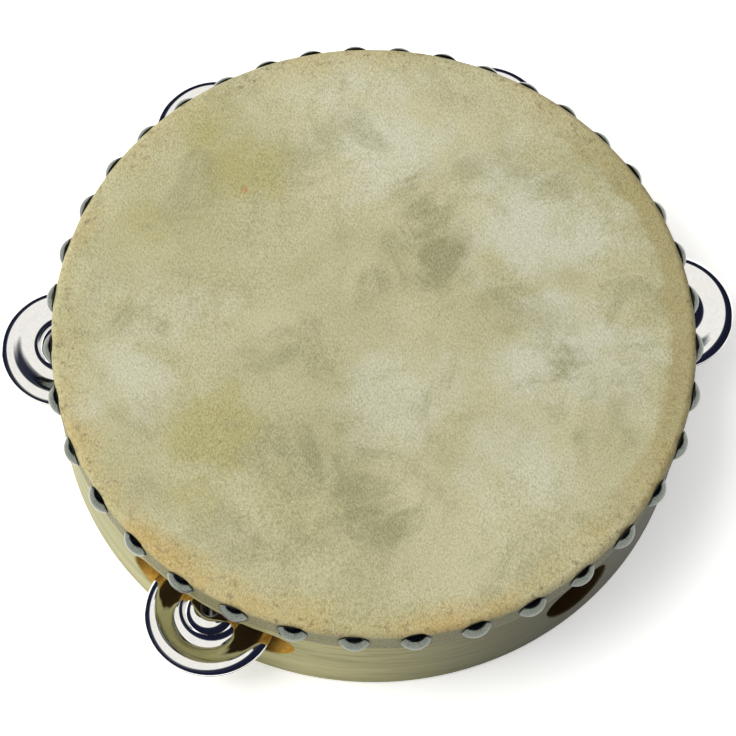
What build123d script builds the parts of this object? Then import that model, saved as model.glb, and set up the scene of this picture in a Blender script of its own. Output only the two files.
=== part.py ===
"""Tacked frame drum with five pairs of jingles: a tambourine.

Units are millimetres.  The origin is on the drum's axis, at the plane of the
bottom rim, and +Z points up, out of the skin.  Five jingle stations and the
thumb hole share the shell's circumference, laid out mirror-wise about the YZ
plane, with a wider plain stretch at the front, at -Y.
"""

from build123d import *
import math
import os

# ---------------------------------------------------------------- shell
shell_radius = 101.6          # outer radius of the bent wooden hoop: an 8 inch head
shell_height = 47.4           # hoop alone, without the skin
wall = 7.0
edge_round = 1.8              # rounding of the hoop's four long edges

# ---------------------------------------------------------------- skin
skin = 0.6                    # thickness of the hide
skirt_depth = 11.0            # how far the hide comes down the outside
total_height = shell_height + skin

# ---------------------------------------------------------------- stations round the hoop
# Each is measured from the X axis: right and left, back right and back left, front.
side_lift = 7.0
back_turn = 62.5
front_turn = 55.0
station_angles = [side_lift, back_turn, 180 - back_turn, 180 - side_lift, 180 + front_turn]
thumb_angle = 360 - front_turn

# ---------------------------------------------------------------- jingle slots and thumb hole
slot_length = 58.0
slot_height = 17.0
slot_centre_z = 23.5
slot_edge_round = 0.5
thumb_hole_radius = 12.0
thumb_hole_z = 22.5
thumb_edge_round = 0.6

# ---------------------------------------------------------------- jingles
sheet = 0.6                   # steel sheet that the jingles are pressed from
jingle_radius = 20.8
jingle_hole_radius = 2.6      # twice the pin: the jingles are loose, to rattle
jingle_rise = 5.5             # height of one jingle, rim to top of its dome
running_gap = 0.2             # air left between parts that rest on each other
rattle = [1.2, -0.3, -0.3, 1.2, 1.2]  # how far outwards of its pin each pair has slid

# ---------------------------------------------------------------- jingle pins
pin_radius = 1.25
pin_circle = shell_radius - 3.2
pin_head_radius = 2.3
pin_head_depth = 1.2
pin_sink = 0.3                # head sits this far below the rim's face
pin_top = 38.0
pin_point = 1.5

# ---------------------------------------------------------------- head tacks
tack_count = 38
first_tack_angle = -13.3
tack_drift = 7.4              # driven by eye: the spacing closes up at the back and opens at the front
tack_head_radius = 4.9
tack_head_rise = 2.6
tack_lip = 0.35               # straight edge under the dome
tack_shank_radius = 0.9
tack_shank_length = 5.8
tack_point = 2.0
tack_z = total_height - 5.6
tack_seat = 0.1               # how far the head beds into the hide


def polar(radius, angle, z=0.0):
    """Point at a radius and an angle in degrees round the drum's axis."""
    turn = math.radians(angle)
    return (radius * math.cos(turn), radius * math.sin(turn), z)


def wall_plane(angle, radius, z):
    """Plane that faces outwards from the hoop, its x along the rim and its y upwards."""
    return Plane(origin=polar(radius, angle, z), x_dir=polar(1, angle + 90), z_dir=polar(1, angle))


def upright_plane(angle, radius, z, upwards=True):
    """Section plane through a vertical line, with its y pointing up, or down."""
    facing = (0, -1, 0) if upwards else (0, 1, 0)
    return Plane(origin=polar(radius, angle, z), x_dir=(1, 0, 0), z_dir=facing)


def tack_angle(i):
    """Where the i-th tack stands round the hoop, in degrees."""
    even = 360 * i / tack_count
    return first_tack_angle + even + tack_drift * math.cos(math.radians(even))


def vertical_axis(angle, radius):
    """Vertical line at a station."""
    return Axis(polar(radius, angle), (0, 0, 1))


def pin_outline(foot):
    """Half section of a jingle pin, standing on its head at the given height."""
    head_top = pin_sink + pin_head_depth
    Polyline(
        (0, foot),
        (pin_head_radius, foot),
        (pin_head_radius, pin_sink),
        (pin_radius, head_top),
        (pin_radius, pin_top - pin_point),
        (0, pin_top),
        close=True,
    )


# ================================================================ shell
# One strip of pale wood, steam-bent to a hoop.  The slots and the thumb hole
# are cut straight through its wall, and each pin has its own drilled hole.
with BuildPart() as shell:
    with BuildSketch():
        Circle(shell_radius)
        Circle(shell_radius - wall, mode=Mode.SUBTRACT)
    extrude(amount=shell_height)
    rims = shell.edges().filter_by(GeomType.CIRCLE)
    fillet(rims, radius=edge_round)

    for angle in station_angles:
        with BuildSketch(wall_plane(angle, shell_radius - wall / 2, slot_centre_z)):
            SlotOverall(slot_length, slot_height)
        before = shell.edges()
        extrude(amount=2 * wall, both=True, mode=Mode.SUBTRACT)
        fillet(shell.edges() - before, radius=slot_edge_round)

    with BuildSketch(wall_plane(thumb_angle, shell_radius - wall / 2, thumb_hole_z)):
        Circle(thumb_hole_radius)
    before = shell.edges()
    extrude(amount=2 * wall, both=True, mode=Mode.SUBTRACT)
    fillet(shell.edges() - before, radius=thumb_edge_round)

    for angle in station_angles:
        with BuildSketch(upright_plane(angle, pin_circle, 0)):
            with BuildLine():
                pin_outline(-pin_sink)
            make_face()
        revolve(axis=vertical_axis(angle, pin_circle), mode=Mode.SUBTRACT)

shell.part.label = "shell"

# ================================================================ drumhead
# One piece of hide, stretched over the top edge and folded down the outside.
fold_outer = edge_round + skin
skirt_foot = total_height - skirt_depth
with BuildPart() as drumhead:
    with BuildSketch(Plane.XZ):
        with BuildLine():
            Line((0, shell_height), (0, total_height))
            Line((0, total_height), (shell_radius + skin - fold_outer, total_height))
            JernArc(
                (shell_radius + skin - fold_outer, total_height), (1, 0), fold_outer, -90
            )
            Line((shell_radius + skin, total_height - fold_outer), (shell_radius + skin, skirt_foot))
            Line((shell_radius + skin, skirt_foot), (shell_radius, skirt_foot))
            Line((shell_radius, skirt_foot), (shell_radius, shell_height - edge_round))
            JernArc((shell_radius, shell_height - edge_round), (0, 1), edge_round, 90)
            Line((shell_radius - edge_round, shell_height), (0, shell_height))
        make_face()
    revolve(axis=Axis.Z)

drumhead.part.label = "drumhead"

# ================================================================ head tacks
# Domed nickel-plated tacks, driven through the hide into the hoop.
tack_face = shell_radius + skin - tack_seat
with BuildPart() as head_tacks:
    for i in range(tack_count):
        angle = tack_angle(i)
        along = Plane(
            origin=polar(tack_face, angle, tack_z), x_dir=(0, 0, 1), z_dir=polar(1, angle + 90)
        )
        with BuildSketch(along):
            with BuildLine():
                Polyline(
                    (0, tack_lip + tack_head_rise),
                    (0, -tack_shank_length),
                    (tack_shank_radius, -tack_shank_length + tack_point),
                    (tack_shank_radius, 0),
                    (tack_head_radius, 0),
                    (tack_head_radius, tack_lip),
                )
                sphere = (tack_head_radius**2 + tack_head_rise**2) / (2 * tack_head_rise)
                RadiusArc(
                    (tack_head_radius, tack_lip), (0, tack_lip + tack_head_rise), -sphere
                )
            make_face()
        revolve(axis=Axis(polar(tack_face, angle, tack_z), polar(1, angle)))

head_tacks.part.label = "head_tacks"

# ================================================================ jingle pins
# Plain steel pins, pushed up through the bottom rim and across each slot.
jingle_pins = []
for number, angle in enumerate(station_angles, start=1):
    with BuildPart() as jingle_pin:
        with BuildSketch(upright_plane(angle, pin_circle, 0)):
            with BuildLine():
                pin_outline(pin_sink / 2)
            make_face()
        revolve(axis=vertical_axis(angle, pin_circle))
    jingle_pin.part.label = f"jingle_pin_{number}"
    jingle_pins.append(jingle_pin)

# ================================================================ jingles
# A domed cup in the middle, a valley round it, a raised ring and a lip that
# turns down to the rim.  Each station holds two, rims together, domes apart.
slot_floor = slot_centre_z - slot_height / 2
lower_rim = slot_floor + running_gap + jingle_rise
upper_rim = lower_rim + running_gap

# radius as a share of the jingle's, height as a share of its rise
dome_flat = (0.16, 1.0)
dome_shoulder = (0.30, 0.90)
dome_side = (0.395, 0.56)
valley = (0.50, 0.22)
ring_slope = (0.66, 0.26)
ring_crest = (0.83, 0.40)
lip = (0.94, 0.24)
rim = (1.0, 0.06)
jingle_curve = [dome_flat, dome_shoulder, dome_side, valley, ring_slope, ring_crest, lip, rim]

curve_steps = 16


def jingle_outline():
    """Half section of a jingle, rim at height 0 and dome up, one sheet thick throughout."""
    top = [(share * jingle_radius, height * jingle_rise) for share, height in jingle_curve]
    outside = Spline(*top, tangents=[(1, 0), (0.5, -1)])
    shares = [step / curve_steps for step in range(curve_steps + 1)]
    inner = [outside @ t + (outside % t).rotate(Axis.Z, -90) * sheet for t in shares]
    inside = Spline(*inner)
    Line(outside @ 1, inside @ 1)
    Polyline(
        inside @ 0,
        (jingle_hole_radius, jingle_rise - sheet),
        (jingle_hole_radius, jingle_rise),
        outside @ 0,
    )


jingles = []
for number, (angle, slid) in enumerate(zip(station_angles, rattle), start=1):
    for place, rim_z, upwards in (("lower", lower_rim, False), ("upper", upper_rim, True)):
        with BuildPart() as jingle:
            with BuildSketch(upright_plane(angle, pin_circle + slid, rim_z, upwards)):
                with BuildLine():
                    jingle_outline()
                make_face()
            revolve(axis=vertical_axis(angle, pin_circle + slid))
        jingle.part.label = f"jingle_{number}_{place}"
        jingles.append(jingle)

# ================================================================ files
os.makedirs("parts", exist_ok=True)
export_step(shell.part, "parts/shell.step")
export_step(drumhead.part, "parts/drumhead.step")
export_step(head_tacks.part, "parts/head_tacks.step")
for piece in jingle_pins + jingles:
    export_step(piece.part, f"parts/{piece.part.label}.step")
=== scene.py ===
"""Looks of a tacked frame drum with five pairs of jingles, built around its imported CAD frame.

Everything is in metres.  The drum stands on its bottom rim at z = 0, skin up,
with the jingle stations spread round the hoop and the thumb hole front right.
"""

import math
import random

import bpy
import numpy as np
from mathutils import Matrix, Vector, noise


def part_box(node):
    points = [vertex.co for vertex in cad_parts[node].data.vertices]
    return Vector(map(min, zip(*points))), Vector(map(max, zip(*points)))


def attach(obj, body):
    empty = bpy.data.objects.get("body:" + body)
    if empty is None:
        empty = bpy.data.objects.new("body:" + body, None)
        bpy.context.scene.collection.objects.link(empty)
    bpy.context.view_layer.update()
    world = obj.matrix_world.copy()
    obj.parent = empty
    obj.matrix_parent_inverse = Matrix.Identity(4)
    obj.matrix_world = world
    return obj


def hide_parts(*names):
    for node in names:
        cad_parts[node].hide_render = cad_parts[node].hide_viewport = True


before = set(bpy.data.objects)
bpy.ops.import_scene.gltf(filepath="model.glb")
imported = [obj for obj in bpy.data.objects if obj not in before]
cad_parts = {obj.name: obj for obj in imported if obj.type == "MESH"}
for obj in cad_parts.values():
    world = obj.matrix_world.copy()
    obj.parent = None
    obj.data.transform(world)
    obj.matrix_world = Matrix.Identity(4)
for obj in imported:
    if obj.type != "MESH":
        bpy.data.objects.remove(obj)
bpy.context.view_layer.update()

MM = 0.001

# ---------------------------------------------------------------- sizes, from the frame
shell_low, shell_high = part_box("shell")
head_low, head_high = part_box("drumhead")
SHELL_RADIUS = (shell_high.x - shell_low.x) / 2
SHELL_TOP = shell_high.z
HEAD_RADIUS = (head_high.x - head_low.x) / 2
HEAD_TOP = head_high.z
SKIRT_FOOT = head_low.z
SKIN = HEAD_TOP - SHELL_TOP
STATIONS = range(1, 6)

# ---------------------------------------------------------------- sizes the boxes don't give, as in the CAD
WALL = 7.0 * MM
CREASE = 2.4 * MM               # outer radius of the hide's fold
THUMB_ANGLE = math.radians(305)
THUMB_Z = 22.5 * MM
SLOT_Z = 23.5 * MM
SLOT_SHADE_REACH = 26.0 * MM          # from the pin to where the slot's painted shade ends
SHEET = 0.6 * MM                # steel of the jingles
TACK_COUNT = 38
FIRST_TACK = -13.3              # degrees
TACK_DRIFT = 7.4                # degrees that the even spacing is pushed by
TACK_RISE = 2.6 * MM
TACK_LIP = 0.35 * MM
TACK_SHANK = 0.9 * MM           # its radius

# ---------------------------------------------------------------- marks of making and of use, and where shade is painted
HIDE_THICKNESS = 0.92 * SKIN
HIDE_SAG = 0.10 * MM
SCAR = (-38 * MM, 52 * MM, 0)
THUMB_SHADE_REACH = 19.0 * MM         # reach of the painted shade round the thumb hole, from the hole's centre
SHADED_SIDE_ANGLE = math.radians(330)  # middle of the front-right side, where shade is painted into the hoop and the skirt
SCARF_ANGLE = math.radians(150)
SCARF_SLANT = 5.0               # radians round the hoop per metre of its height


def middle(node):
    """Centre of a CAD node's box."""
    low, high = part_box(node)
    return (low + high) / 2


# ---------------------------------------------------------------- mesh helpers
def mesh_object(name, points, faces, material, smooth=True):
    """A new object from points and faces, with one material."""
    mesh = bpy.data.meshes.new(name)
    mesh.from_pydata([tuple(p) for p in points], [], [tuple(f) for f in faces])
    mesh.validate()
    mesh.update()
    if smooth:
        mesh.polygons.foreach_set("use_smooth", [True] * len(mesh.polygons))
    mesh.materials.append(material)
    made = bpy.data.objects.new(name, mesh)
    bpy.context.scene.collection.objects.link(made)
    return made


def ring_faces(rows, columns, closed_rows, start=0):
    """Quads of a grid that closes round its columns and, if asked, round its rows too."""
    faces = []
    for i in range(rows if closed_rows else rows - 1):
        for j in range(columns):
            a = start + i * columns + j
            b = start + i * columns + (j + 1) % columns
            c = start + ((i + 1) % rows) * columns + (j + 1) % columns
            d = start + ((i + 1) % rows) * columns + j
            faces.append((a, b, c, d))
    return faces


def smooth_path(points, steps):
    """Catmull-Rom curve through a few (x, z) points, a number of steps to each span."""
    ends = [2 * np.array(points[0]) - np.array(points[1])]
    ends += [np.array(p, float) for p in points]
    ends.append(2 * np.array(points[-1]) - np.array(points[-2]))
    path = []
    for i in range(1, len(ends) - 2):
        before, here, after, beyond = ends[i - 1], ends[i], ends[i + 1], ends[i + 2]
        for k in range(steps):
            t = k / steps
            bend = 2 * before - 5 * here + 4 * after - beyond
            twist = -before + 3 * here - 3 * after + beyond
            path.append(0.5 * (2 * here + (after - before) * t + bend * t**2 + twist * t**3))
    path.append(ends[-2])
    return np.array(path)


def offset_path(path, amount):
    """The same path moved sideways, to its right, by an amount."""
    along = np.gradient(path, axis=0)
    along /= np.linalg.norm(along, axis=1)[:, None]
    return path + np.stack([along[:, 1], -along[:, 0]], axis=1) * amount


# ---------------------------------------------------------------- material helpers
def colour(red, green, blue):
    """Linear colour from the 0 to 255 values that a screen shows."""
    def one(value):
        value /= 255
        return value / 12.92 if value <= 0.04045 else ((value + 0.055) / 1.055) ** 2.4
    return (one(red), one(green), one(blue), 1.0)


class Shader:
    """A material's node tree, with short ways to add the nodes used here."""

    def __init__(self, name):
        self.material = bpy.data.materials.new(name)
        self.material.use_nodes = True
        self.tree = self.material.node_tree
        self.tree.nodes.clear()
        self.surface = self.tree.nodes.new("ShaderNodeBsdfPrincipled")
        out = self.tree.nodes.new("ShaderNodeOutputMaterial")
        self.tree.links.new(self.surface.outputs[0], out.inputs[0])
        self.place = self.tree.nodes.new("ShaderNodeTexCoord").outputs["Object"]

    def put(self, socket, value):
        """Link a socket or set a value."""
        if isinstance(value, bpy.types.NodeSocket):
            self.tree.links.new(value, socket)
        else:
            socket.default_value = value

    def set(self, **values):
        """Inputs of the surface shader, by name with underscores for spaces."""
        for name, value in values.items():
            self.put(self.surface.inputs[name.replace("_", " ")], value)

    def math(self, operation, a, b=None, c=None, clamp=False):
        node = self.tree.nodes.new("ShaderNodeMath")
        node.operation = operation
        node.use_clamp = clamp
        for socket, value in zip(node.inputs, (a, b, c)):
            if value is not None:
                self.put(socket, value)
        return node.outputs[0]

    def times(self, a, b):
        return self.math("MULTIPLY", a, b)

    def from_axis(self, x, y):
        """Distance from the drum's axis."""
        return self.math("SQRT", self.math("ADD", self.math("POWER", x, 2.0), self.math("POWER", y, 2.0)))

    def span(self, value, low, high, to_low=0.0, to_high=1.0, smooth=True):
        """Value from low..high brought to to_low..to_high."""
        node = self.tree.nodes.new("ShaderNodeMapRange")
        node.interpolation_type = "SMOOTHSTEP" if smooth else "LINEAR"
        for socket, item in zip(node.inputs, (value, low, high, to_low, to_high)):
            self.put(socket, item)
        return node.outputs[0]

    def noise(self, vector, scale, detail=2.0, roughness=0.5, distortion=0.0):
        node = self.tree.nodes.new("ShaderNodeTexNoise")
        self.put(node.inputs["Vector"], vector)
        node.inputs["Scale"].default_value = scale
        node.inputs["Detail"].default_value = detail
        node.inputs["Roughness"].default_value = roughness
        node.inputs["Distortion"].default_value = distortion
        return node.outputs["Fac"]

    def mix(self, share, a, b):
        node = self.tree.nodes.new("ShaderNodeMix")
        node.data_type = "RGBA"
        self.put(node.inputs["Factor"], share)
        self.put(node.inputs["A"], a)
        self.put(node.inputs["B"], b)
        return node.outputs["Result"]

    def split(self, vector):
        node = self.tree.nodes.new("ShaderNodeSeparateXYZ")
        self.put(node.inputs[0], vector)
        return node.outputs[0], node.outputs[1], node.outputs[2]

    def join(self, x, y, z):
        node = self.tree.nodes.new("ShaderNodeCombineXYZ")
        for socket, value in zip(node.inputs, (x, y, z)):
            self.put(socket, value)
        return node.outputs[0]

    def shifted(self, vector, scale=(1, 1, 1), place=(0, 0, 0), turn=(0, 0, 0)):
        node = self.tree.nodes.new("ShaderNodeMapping")
        self.put(node.inputs["Vector"], vector)
        node.inputs["Scale"].default_value = scale
        node.inputs["Location"].default_value = place
        node.inputs["Rotation"].default_value = turn
        return node.outputs[0]

    def distance(self, vector, point):
        node = self.tree.nodes.new("ShaderNodeVectorMath")
        node.operation = "DISTANCE"
        self.put(node.inputs[0], vector)
        node.inputs[1].default_value = point
        return node.outputs["Value"]

    def bump(self, height, strength, depth, under=None):
        """Bump from a height of 0 to 1, worth a depth in metres."""
        node = self.tree.nodes.new("ShaderNodeBump")
        node.inputs["Strength"].default_value = strength
        node.inputs["Distance"].default_value = depth
        self.put(node.inputs["Height"], height)
        if under is not None:
            self.put(node.inputs["Normal"], under)
        return node.outputs[0]


# ---------------------------------------------------------------- materials
# Marks in the hide: x and y in mm from the middle, radius in mm, strength.
OLIVE_PATCHES = [
    (-52, -32, 17, 0.9),
    (-42, 62, 22, 0.95),
    (-70, 40, 14, 0.5),
    (-58, -52, 12, 0.5),
    (-30, -58, 16, 0.4),
]
DARK_MOTTLES = [
    (20, 40, 13, 0.85),
    (8, 30, 9, 0.75),
    (24, 24, 12, 0.7),
    (2, 8, 16, 0.6),
    (-38, 36, 11, 0.7),
    (-26, 38, 8, 0.6),
    (-22, -10, 16, 0.5),
    (-22, -40, 22, 0.55),
    (-8, -62, 20, 0.6),
    (-34, -66, 14, 0.6),
    (60, -18, 12, 0.4),
    (62, -40, 8, 0.4),
]
PALE_PATCHES = [
    (-78, -12, 18, 0.5),
    (5, 72, 26, 0.6),
    (54, 34, 28, 0.7),
    (-68, 8, 22, 0.4),
    (6, -24, 22, 0.5),
    (60, -8, 28, 0.7),
    (44, -48, 22, 0.5),
]


def shaded_side(s, x, y, radius):
    """Share of painted shade on the hoop and the skirt: most at the front right, none towards the back left.
    """
    grip = Matrix.Rotation(SHADED_SIDE_ANGLE, 3, "Z") @ Vector((1, 0, 0))
    facing = s.math("ADD", s.times(x, grip.x), s.times(y, grip.y))
    return s.span(s.math("DIVIDE", facing, radius), 0.25, 0.92)


def hide_material():
    """Natural goat hide: mottled cream and olive, tanned along the fold."""
    s = Shader("goat_hide")
    x, y, z = s.split(s.place)
    radius = s.from_axis(x, y)
    wander = s.noise(s.place, 55.0, 4.0, 0.6)
    cloud = s.noise(s.place, 16.0, 6.0, 0.62, 0.4)
    mottle = s.noise(s.shifted(s.place, place=(3.1, 1.7, 0)), 42.0, 6.0, 0.66, 0.6)
    streak = s.noise(s.shifted(s.place, scale=(1.0, 0.55, 1.0), turn=(0, 0, 0.7)), 1900.0, 4.0, 0.75)
    grain = s.noise(s.place, 3800.0, 2.0, 0.8)

    def patches(spots):
        """Share of the strongest mark at each place, its outline wandering by half its radius."""
        total = 0.0
        for px, py, size, strength in spots:
            away = s.distance(s.join(x, y, 0.0), (px * MM, py * MM, 0))
            away = s.math("ADD", away, s.span(wander, 0.25, 0.75, -0.5 * size * MM, 0.5 * size * MM))
            spot = s.span(away, 0.15 * size * MM, 1.15 * size * MM, strength, 0.0)
            total = s.math("MAXIMUM", total, spot)
        return total

    base = s.mix(s.span(cloud, 0.35, 0.68), colour(170, 166, 122), colour(192, 188, 150))
    base = s.mix(patches(PALE_PATCHES), base, colour(208, 209, 192))
    base = s.mix(patches(OLIVE_PATCHES), base, colour(162, 155, 92))
    dark = s.times(patches(DARK_MOTTLES), s.span(mottle, 0.38, 0.62, 0.25, 1.0))
    dark = s.math("ADD", dark, s.span(mottle, 0.48, 0.66, 0.0, 0.5), clamp=True)
    base = s.mix(dark, base, colour(136, 135, 94))

    # the fold: a tan band with brown freckles just inside the edge, greener on the skirt
    edge = s.math("ADD", radius, s.span(wander, 0.3, 0.7, -2.5 * MM, 2.5 * MM))
    band = s.span(edge, 90 * MM, 100.5 * MM)
    freckle = s.times(s.span(s.noise(s.place, 420.0, 4.0, 0.7), 0.54, 0.66), band)
    tan = s.mix(s.span(cloud, 0.3, 0.7), colour(188, 168, 106), colour(182, 153, 80))
    front = s.span(s.math("DIVIDE", y, radius), 0.2, -0.7, 0.4, 1.0)
    right = s.span(s.math("DIVIDE", x, radius), 0.55, 0.97)
    where = s.math("MAXIMUM", front, right)
    tanned = s.times(band, s.span(s.noise(s.place, 30.0, 4.0), 0.36, 0.6, 0.2, 1.0))
    tanned = s.times(tanned, where)
    rubbed = s.times(s.span(edge, 90.5 * MM, 94.5 * MM), right)
    rubbed = s.times(rubbed, s.span(streak, 0.35, 0.6, 0.5, 0.9))
    tan = s.mix(s.times(right, 0.9), tan, colour(148, 132, 72))
    base = s.mix(s.math("MAXIMUM", tanned, rubbed), base, tan)
    base = s.mix(s.times(freckle, 0.8), base, colour(116, 92, 50))
    skirt = s.span(z, HEAD_TOP - 1.2 * MM, HEAD_TOP - 3.2 * MM)
    base = s.mix(s.times(skirt, 0.85), base, colour(104, 103, 56))
    # painted shade: the skirt darkens towards the front right, the drum's shaded side
    skirt_shade = s.times(skirt, shaded_side(s, x, y, radius))
    base = s.mix(s.times(skirt_shade, 0.85), base, colour(52, 53, 32))

    # one small rusty scar
    scar = s.distance(s.join(x, y, 0.0), SCAR)
    base = s.mix(s.span(scar, 0.6 * MM, 1.5 * MM, 0.75, 0.0), base, colour(176, 112, 50))

    # fine pores and hairs all over
    speck = s.math("ADD", s.times(streak, 0.5), s.times(grain, 0.5))
    shade = s.span(speck, 0.42, 0.60, 0.0, 1.0, smooth=False)
    base = s.mix(s.times(shade, 0.34), base, colour(222, 218, 194))
    base = s.mix(s.span(speck, 0.54, 0.40, 0.0, 0.52, smooth=False), base, colour(112, 108, 72))
    s.set(
        Base_Color=base,
        Roughness=s.span(cloud, 0.3, 0.7, 0.5, 0.62),
        Specular_IOR_Level=0.1,
        Normal=s.bump(speck, 0.35, 0.25 * MM, s.bump(mottle, 0.3, 0.6 * MM)),
    )
    return s.material


def wood_material():
    """Pale bent hardwood under clear lacquer, raw and golden where it was cut through."""
    s = Shader("lacquered_hoop_wood")
    x, y, z = s.split(s.place)
    radius = s.from_axis(x, y)
    # distance along the strip, which starts and ends at the hoop's slanting scarf joint
    from_scarf = s.shifted(s.place, turn=(0, 0, math.pi - SCARF_ANGLE))
    across, onward, _ = s.split(from_scarf)
    turn = s.math("ADD", s.math("ARCTAN2", onward, across), s.times(z, SCARF_SLANT))
    turn = s.math("WRAP", turn, math.pi, -math.pi)
    along = s.times(turn, SHELL_RADIUS)
    half_strip = math.pi * SHELL_RADIUS
    glue = s.span(s.math("ABSOLUTE", along), half_strip - 0.5 * MM, half_strip - 0.2 * MM)
    strip = s.join(along, radius, z)
    fibre = s.noise(s.shifted(strip, scale=(0.05, 1.0, 1.0)), 900.0, 5.0, 0.65, 0.2)
    figure = s.noise(s.shifted(strip, scale=(0.12, 1.0, 1.0)), 130.0, 4.0, 0.55, 0.6)
    pores = s.noise(s.shifted(strip, scale=(0.03, 1.0, 1.0)), 2600.0, 2.0, 0.6)
    cloud = s.noise(strip, 22.0, 3.0)
    wood = s.mix(s.span(figure, 0.32, 0.68), colour(176, 171, 120), colour(156, 153, 102))
    wood = s.mix(s.span(fibre, 0.45, 0.68, 0.0, 0.7), wood, colour(122, 118, 70))
    wood = s.mix(s.span(pores, 0.58, 0.72, 0.0, 0.35), wood, colour(88, 80, 44))
    wood = s.mix(s.span(cloud, 0.35, 0.7, 0.0, 0.3), wood, colour(184, 176, 124))

    wood = s.mix(s.times(glue, 0.7), wood, colour(84, 70, 38))
    # painted shade: the hoop darkens towards the front right, its shaded side
    wood = s.mix(s.times(shaded_side(s, x, y, radius), 0.88), wood, colour(42, 44, 26))

    # the walls of the slots and the thumb hole: inside the hoop's two faces and clear of its rims
    inner = s.span(radius, SHELL_RADIUS - WALL + 0.15 * MM, SHELL_RADIUS - WALL + 0.7 * MM)
    outer = s.span(radius, SHELL_RADIUS - 0.15 * MM, SHELL_RADIUS - 0.7 * MM)
    level = s.times(s.span(z, 5 * MM, 6 * MM), s.span(z, 37 * MM, 36 * MM))
    cut = s.times(s.times(inner, outer), level)
    torn = s.noise(s.shifted(strip, scale=(0.3, 1.0, 1.0)), 1500.0, 5.0, 0.75)
    raw = s.mix(s.span(torn, 0.35, 0.65), colour(206, 158, 62), colour(150, 102, 34))
    raw = s.mix(s.span(figure, 0.35, 0.7, 0.0, 0.5), raw, colour(226, 186, 96))
    # painted shade: the walls of the bored thumb hole are darkened, as shade inside the hole
    hole = Matrix.Rotation(THUMB_ANGLE, 3, "Z") @ Vector((SHELL_RADIUS - WALL / 2, 0, THUMB_Z))
    thumb = s.distance(s.place, (hole.x, hole.y, hole.z))
    raw = s.mix(s.span(thumb, THUMB_SHADE_REACH, 0.8 * THUMB_SHADE_REACH, 0.0, 0.97), raw, colour(44, 31, 22))
    # painted shade: the middle of each slot, behind the jingles, is darkened as shade
    for station in STATIONS:
        pin = middle(f"jingle_pin_{station}")
        away = s.distance(s.place, (pin.x, pin.y, SLOT_Z))
        away = s.math("ADD", away, s.span(cloud, 0.3, 0.7, -2 * MM, 2 * MM))
        raw = s.mix(s.span(away, SLOT_SHADE_REACH, SLOT_SHADE_REACH - 7 * MM, 0.0, 0.95), raw, colour(42, 32, 22))
    height = s.math("ADD", s.times(fibre, 0.5), s.times(pores, 0.3))
    height = s.math("ADD", height, s.times(s.times(torn, cut), 1.6))
    s.set(
        Base_Color=s.mix(cut, wood, raw),
        Roughness=s.span(cut, 0.0, 1.0, 0.42, 0.8),
        Specular_IOR_Level=0.06,
        Coat_Weight=0.04,
        Coat_Roughness=0.12,
        Normal=s.bump(height, 0.3, 0.12 * MM),
    )
    return s.material


def plated_material(name, tint, roughness, brushed, dent, tarnish_and_rim_shade=0.0):
    """Nickel-plated steel: nearly a mirror, with fine wipe marks and faint waviness.

    For the tacks, an amount of tarnish adds specks over the head and a painted shade line on the lip where
    the head meets the hide.
    """
    s = Shader(name)

    def darker(share):
        return tuple(share * v for v in tint[:3]) + (1,)

    wipe = s.noise(s.place, 380.0, 5.0, 0.7, 1.5)
    fine = s.noise(s.shifted(s.place, scale=(1.0, 1.0, 6.0)), 5200.0, 2.0, 0.6)
    wave = s.noise(s.place, 160.0, 2.0, 0.5)
    base = s.mix(s.span(wipe, 0.35, 0.7, 0.0, 0.35), tint, darker(0.82))
    if tarnish_and_rim_shade:
        x, y, _ = s.split(s.place)
        radius = s.from_axis(x, y)
        speck = s.noise(s.place, 2100.0, 3.0, 0.75)
        base = s.mix(s.span(speck, 0.44, 0.62, 0.0, tarnish_and_rim_shade), base, darker(0.35))
        # painted shade: the head's lip, where it meets the hide, is darkened
        rim = s.span(radius, HEAD_RADIUS + 0.75 * MM, HEAD_RADIUS + 0.3 * MM)
        base = s.mix(rim, base, darker(0.12))
    s.set(
        Base_Color=base,
        Metallic=1.0,
        Roughness=s.span(wipe, 0.3, 0.75, roughness, roughness * 2.2),
        Normal=s.bump(fine, brushed, 0.01 * MM, s.bump(wave, dent, 0.05 * MM)),
    )
    return s.material


HIDE = hide_material()
WOOD = wood_material()
JINGLE_PLATE = plated_material("jingle_nickel", (0.87, 0.87, 0.85, 1), 0.04, 0.05, 0.12)
TACK_PLATE = plated_material("tack_nickel_plate", (0.18, 0.20, 0.17, 1), 0.09, 0.4, 0.8, tarnish_and_rim_shade=0.8)
PIN_STEEL = plated_material("pin_drawn_steel", (0.55, 0.55, 0.54, 1), 0.28, 0.4, 0.2)


# ---------------------------------------------------------------- hoop and pins
def dress(node, material):
    """Gives a CAD node's object its finish."""
    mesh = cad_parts[node].data
    mesh.materials.clear()
    mesh.materials.append(material)


dress("shell", WOOD)
for station in STATIONS:
    dress(f"jingle_pin_{station}", PIN_STEEL)


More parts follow.
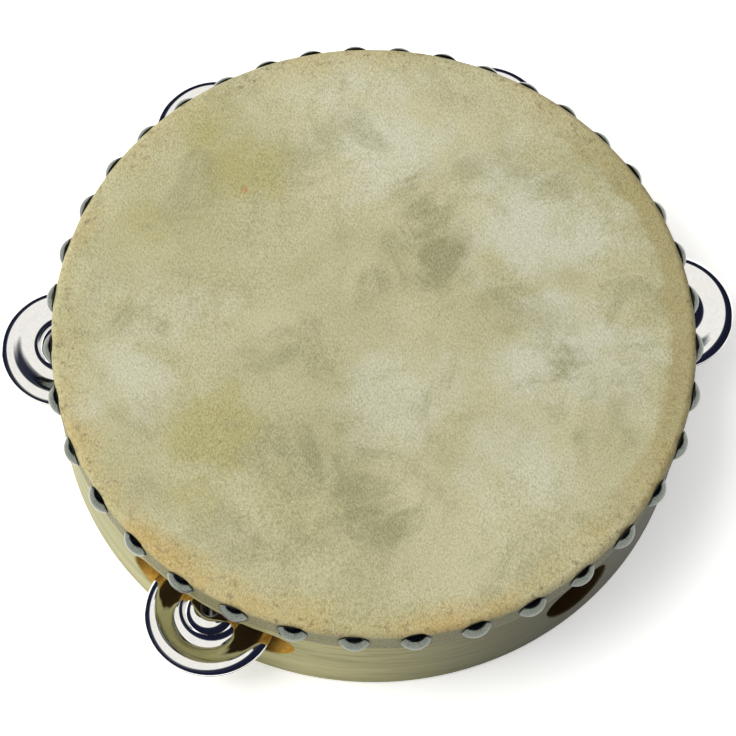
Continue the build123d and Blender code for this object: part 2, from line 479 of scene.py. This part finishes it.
# ---------------------------------------------------------------- drumhead
def drumhead():
    """The hide: nearly flat, softly folded over the edge, puckered and uneven along its hem."""
    columns = 760
    flat = HEAD_RADIUS - CREASE
    rng = random.Random(5)
    waves = [(count, rng.uniform(0, math.tau), rng.uniform(0.3, 1.0)) for count in (3, 5, 8, 13, 21, 34, 55)]

    def hem(turn):
        """Unevenness of the cut edge round the drum."""
        return sum(size * math.sin(count * turn + phase) / (1 + 0.04 * count) for count, phase, size in waves)

    # rows of the outer face: radius, height, and how far down the skirt, from 0 to 1
    rows = [(flat * share, HEAD_TOP, 0.0) for share in np.linspace(0.02, 0.97, 44)]
    for step in range(13):
        turn = math.radians(90 * step / 12)
        rows.append((flat + CREASE * math.sin(turn), HEAD_TOP - CREASE + CREASE * math.cos(turn), 0.0))
    for share in np.linspace(0.08, 1.0, 16):
        rows.append((HEAD_RADIUS, HEAD_TOP - CREASE + (SKIRT_FOOT - HEAD_TOP + CREASE) * share, share))

    def underside(radius, height, down):
        """The same place on the hide's other face."""
        if down > 0:
            return radius - HIDE_THICKNESS, height, down
        if radius > flat:
            across = Vector((radius - flat, height - (HEAD_TOP - CREASE))).normalized()
            return radius - across.x * HIDE_THICKNESS, height - across.y * HIDE_THICKNESS, down
        return radius, height - HIDE_THICKNESS, down

    rows += [underside(*row) for row in rows[::-1]]
    points = []
    for radius, height, down in rows:
        for column in range(columns):
            turn = math.tau * column / columns
            x, y = radius * math.cos(turn), radius * math.sin(turn)
            lift = 0.0
            if down == 0.0:
                ease = min(1.0, (HEAD_RADIUS - radius) / (12 * MM))
                rough = noise.noise(Vector((x * 26, y * 26, 0.3)))
                rough += 0.45 * noise.noise(Vector((x * 80, y * 80, 2)))
                lift = 0.16 * MM * rough * ease - HIDE_SAG * (1 - (radius / HEAD_RADIUS) ** 2)
            pucker = 0.0
            if radius > flat:
                pucker = 0.10 * MM * noise.noise(Vector((math.cos(turn) * 9, math.sin(turn) * 9, 1.0 + down)))
            fall = down**3 * 0.45 * MM * hem(turn)
            grow = 1 + pucker / max(radius, 1 * MM)
            points.append((x * grow, y * grow, height + lift + fall))
    faces = ring_faces(len(rows), columns, False)
    top_centre = len(points)
    points.append((0, 0, HEAD_TOP - HIDE_SAG))
    under_centre = len(points)
    points.append((0, 0, HEAD_TOP - HIDE_SAG - HIDE_THICKNESS))
    last = (len(rows) - 1) * columns
    for j in range(columns):
        k = (j + 1) % columns
        faces.append((top_centre, k, j))
        faces.append((under_centre, last + j, last + k))
    return mesh_object("drumhead_hide", points, [f[::-1] for f in faces], HIDE)


hide = drumhead()
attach(hide, "shell")
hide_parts("drumhead")


# ---------------------------------------------------------------- head tacks
def tack_turns():
    """Where each tack stands round the hoop: closer together at the back than at the front."""
    for i in range(TACK_COUNT):
        even = 360 * i / TACK_COUNT
        yield math.radians(FIRST_TACK + even + TACK_DRIFT * math.cos(math.radians(even)))


def head_tacks():
    """Domed tacks, each driven in by hand a little differently."""
    rng = random.Random(11)
    low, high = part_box("head_tacks")
    height = (low.z + high.z) / 2
    head = (high.z - low.z) / 2
    # profile from the dome's top over its rounded rim to the shank's point: distance out, height along
    profile = [(0.0, TACK_RISE + TACK_LIP)]
    sphere = (head**2 + TACK_RISE**2) / (2 * TACK_RISE)
    for step in range(1, 15):
        out = head * math.sin(math.radians(90 * step / 15)) ** 0.9 * 0.985
        profile.append((out, TACK_LIP + math.sqrt(sphere**2 - out**2) - (sphere - TACK_RISE)))
    profile += [(head * 0.997, TACK_LIP * 1.25), (head, TACK_LIP * 0.75)]
    profile += [(head * 0.99, TACK_LIP * 0.2), (head * 0.95, 0.0), (head * 0.80, 0.05 * MM)]
    profile += [(TACK_SHANK, 0.1 * MM), (TACK_SHANK, -3.6 * MM), (0.0, -5.6 * MM)]
    columns = 40
    points, faces = [], []
    for turn in tack_turns():
        nod, sway = rng.uniform(-0.05, 0.05), rng.uniform(-0.05, 0.05)
        tilt = Matrix.Rotation(nod, 3, "Y") @ Matrix.Rotation(sway, 3, "Z")
        spin = Matrix.Rotation(turn, 3, "Z")
        seat = HEAD_RADIUS - rng.uniform(0.12, 0.22) * MM
        drop = rng.uniform(-0.25, 0.25) * MM
        start = len(points)
        for out, along in profile[1:-1]:
            for column in range(columns):
                a = math.tau * column / columns
                local = tilt @ Vector((along, out * math.cos(a), out * math.sin(a)))
                points.append(spin @ Vector((seat + local.x, local.y, height + drop + local.z)))
        rows = len(profile) - 2
        faces += ring_faces(rows, columns, False, start)
        for (_, along), row in ((profile[0], 0), (profile[-1], rows - 1)):
            local = tilt @ Vector((along, 0, 0))
            points.append(spin @ Vector((seat + local.x, local.y, height + drop + local.z)))
            tip = len(points) - 1
            for j in range(columns):
                a, b = start + row * columns + j, start + row * columns + (j + 1) % columns
                faces.append((tip, b, a) if row == 0 else (tip, a, b))
    return mesh_object("head_tacks_plated", points, [f[::-1] for f in faces], TACK_PLATE)


tacks = head_tacks()
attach(tacks, "shell")
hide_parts("head_tacks")


# ---------------------------------------------------------------- jingles
# centre to lip: radius as a share of the jingle's, height as a share of its rise
JINGLE_CURVE = [
    (0.128, 0.96),
    (0.16, 0.995),
    (0.24, 0.975),
    (0.31, 0.87),
    (0.37, 0.66),
    (0.42, 0.42),
    (0.48, 0.25),
    (0.56, 0.20),
    (0.66, 0.26),
    (0.76, 0.36),
    (0.84, 0.42),
    (0.90, 0.37),
    (0.955, 0.24),
    (0.99, 0.12),
]


def jingle(station, place):
    """One pressed jingle: cup, valley, raised ring and a lip with a curled rim."""
    node = f"jingle_{station}_{place}"
    low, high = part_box(node)
    centre = (low + high) / 2
    radius = (high.x - low.x) / 2
    rise = high.z - low.z
    seed = station * 2 + (place == "upper")
    rng = random.Random(seed)
    outside = smooth_path([(r * radius, h * rise) for r, h in JINGLE_CURVE], 6)
    inside = offset_path(outside, SHEET)[::-1]
    curl_x, curl_z = outside[-1][0] - 0.25 * MM, 0.36 * MM
    curl = []
    for step in range(1, 8):
        a = math.radians(20 - 200 * step / 8)
        curl.append((curl_x + 0.36 * MM * math.cos(a), curl_z + 0.34 * MM * math.sin(a)))
    # the inside face ends where the curled rim begins
    inside = [p for p in inside if p[0] < curl_x - 0.1 * MM and p[0] > 0.125 * radius]
    profile = list(outside) + curl + list(inside)
    columns = 192
    facing = 1 if place == "upper" else -1
    rim_z = low.z if place == "upper" else high.z
    phases = [rng.uniform(0, math.tau) for _ in range(2)]
    points = []
    for r, h in profile:
        for column in range(columns):
            turn = math.tau * column / columns
            dents = noise.noise(Vector((r * 140 * math.cos(turn), r * 140 * math.sin(turn), seed)))
            wobble = 0.035 * MM * math.sin(2 * turn + phases[0]) * (r / radius)
            wobble += 0.02 * MM * math.sin(3 * turn + phases[1]) * (r / radius) ** 2
            wobble += 0.02 * MM * dents
            points.append(
                (
                    centre.x + r * math.cos(turn),
                    centre.y + facing * r * math.sin(turn),
                    rim_z + facing * (h + wobble),
                )
            )
    faces = ring_faces(len(profile), columns, True)
    made = mesh_object(f"{node}_plated", points, faces, JINGLE_PLATE)
    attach(made, f"{place}_jingle_{station}")
    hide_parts(node)


for station in STATIONS:
    for place in ("lower", "upper"):
        jingle(station, place)


# ---------------------------------------------------------------- floor, light and camera
def floor():
    """Plain pale floor."""
    s = Shader("pale_floor")
    s.set(Base_Color=(0.93, 0.93, 0.925, 1), Roughness=0.9, Specular_IOR_Level=0.1)
    s.set(Emission_Color=(1.0, 1.0, 0.99, 1), Emission_Strength=0.42)
    half = 4.0
    corners = [(-half, -half, 0), (half, -half, 0), (half, half, 0), (-half, half, 0)]
    made = mesh_object("floor", corners, [(0, 1, 2, 3)], s.material, smooth=False)


def soft_light(name, place, aim, size, power):
    """A large soft area light that looks at a point."""
    data = bpy.data.lights.new(name, "AREA")
    data.shape = "RECTANGLE"
    data.size, data.size_y = size
    data.energy = power
    made = bpy.data.objects.new(name, data)
    made.location = place
    made.rotation_euler = (Vector(aim) - Vector(place)).to_track_quat("-Z", "Y").to_euler()
    bpy.context.scene.collection.objects.link(made)
    return made


def studio_world():
    """Dark blue-black room with a bright ceiling, for the plating to mirror, and plain pale in view."""
    world = bpy.data.worlds.new("studio")
    bpy.context.scene.world = world
    world.use_nodes = True
    tree = world.node_tree
    tree.nodes.clear()
    out = tree.nodes.new("ShaderNodeOutputWorld")
    seen = tree.nodes.new("ShaderNodeBackground")
    seen.inputs["Color"].default_value = (0.95, 0.95, 0.95, 1)
    seen.inputs["Strength"].default_value = 1.0
    room = tree.nodes.new("ShaderNodeBackground")
    room.inputs["Strength"].default_value = 1.0
    place = tree.nodes.new("ShaderNodeTexCoord")
    towards = tree.nodes.new("ShaderNodeVectorMath")
    towards.operation = "DOT_PRODUCT"
    towards.inputs[1].default_value = Vector((-0.25, 0.0, 0.95)).normalized()
    ramp = tree.nodes.new("ShaderNodeValToRGB")
    stops = [
        (0.0, (0.010, 0.011, 0.022, 1)),
        (0.48, (0.012, 0.014, 0.038, 1)),
        (0.66, (0.035, 0.038, 0.058, 1)),
        (0.70, (0.24, 0.25, 0.26, 1)),
        (0.745, (1.0, 0.98, 0.94, 1)),
    ]
    ramp.color_ramp.elements[0].position, ramp.color_ramp.elements[0].color = stops[0]
    ramp.color_ramp.elements[1].position, ramp.color_ramp.elements[1].color = stops[-1]
    for position, tint in stops[1:-1]:
        ramp.color_ramp.elements.new(position).color = tint
    path = tree.nodes.new("ShaderNodeLightPath")
    either = tree.nodes.new("ShaderNodeMixShader")
    tree.links.new(place.outputs["Generated"], towards.inputs[0])
    tree.links.new(towards.outputs["Value"], ramp.inputs[0])
    tree.links.new(ramp.outputs[0], room.inputs["Color"])
    tree.links.new(path.outputs["Is Camera Ray"], either.inputs[0])
    tree.links.new(room.outputs[0], either.inputs[1])
    tree.links.new(seen.outputs[0], either.inputs[2])
    tree.links.new(either.outputs[0], out.inputs[0])


def camera():
    """Looks down on the skin from the front, a little from the left."""
    azimuth, elevation, roll = math.radians(-8.0), math.radians(66.2), math.radians(3.9)
    reach = 10.0 * SHELL_RADIUS
    target = Matrix.Rotation(azimuth, 3, "Z") @ Vector((-0.0129, 0.0757, 0)) * SHELL_RADIUS
    back = Vector(
        (
            math.sin(azimuth) * math.cos(elevation),
            -math.cos(azimuth) * math.cos(elevation),
            math.sin(elevation),
        )
    )
    data = bpy.data.cameras.new("camera")
    data.lens = 149.9
    data.sensor_width = 36.0
    made = bpy.data.objects.new("camera", data)
    made.location = target + back * reach
    made.rotation_mode = "QUATERNION"
    level = (-back).to_track_quat("-Z", "Y")
    made.rotation_quaternion = level @ Matrix.Rotation(roll, 3, "Z").to_quaternion()
    data.clip_start, data.clip_end = 0.01, 50
    bpy.context.scene.collection.objects.link(made)
    bpy.context.scene.camera = made


floor()
studio_world()
key = soft_light("key", (-0.75, 0.1, 1.2), (0, 0, 0.03), (1.1, 1.1), 18.0)
key.visible_glossy = False
camera()
bpy.context.scene.view_settings.view_transform = "Standard"
